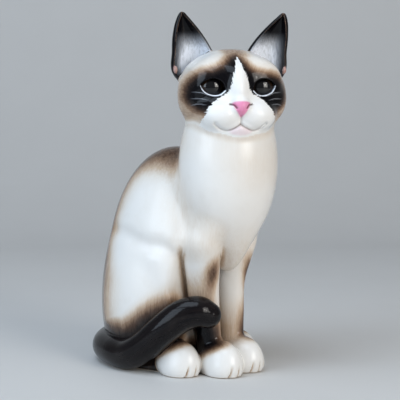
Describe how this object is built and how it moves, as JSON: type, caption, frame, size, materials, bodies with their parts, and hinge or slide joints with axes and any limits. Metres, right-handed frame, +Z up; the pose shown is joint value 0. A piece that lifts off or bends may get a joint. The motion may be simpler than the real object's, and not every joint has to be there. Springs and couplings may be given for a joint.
{
  "type": "ceramic cat figurine",
  "caption": "Seated cat in glazed ceramic with its head turned to one side, pricked ears, inset glass eyes and its tail wrapped round its paws; a hollow casting that stands on a flat foot ring.",
  "frame": {"origin": "centre of the foot ring, on the plane that the figurine rests on", "axes": "+Z up; the body faces -Y; the cat's left side is +X, and its head turns 38 degrees towards -X"},
  "size_m": [0.0881, 0.1293, 0.2116],
  "materials": {
    "white_glaze": "gloss, off-white with airbrushed brown, tan and black markings",
    "dark_glaze": "gloss, black-brown",
    "eye_glass": "polished dome over a dark brown iris and black pupil",
    "bare_clay": "unglazed, matte"
  },
  "bodies": {
    "root": {"torso_shell": "white_glaze", "base_disc": "bare_clay", "head_shell": "white_glaze", "left_ear": "dark_glaze", "right_ear": "dark_glaze", "left_eye": "eye_glass", "right_eye": "eye_glass", "left_foreleg": "white_glaze", "right_foreleg": "white_glaze", "left_hind_paw": "white_glaze", "right_hind_paw": "white_glaze", "tail": "dark_glaze"}
  },
  "joints": []
}
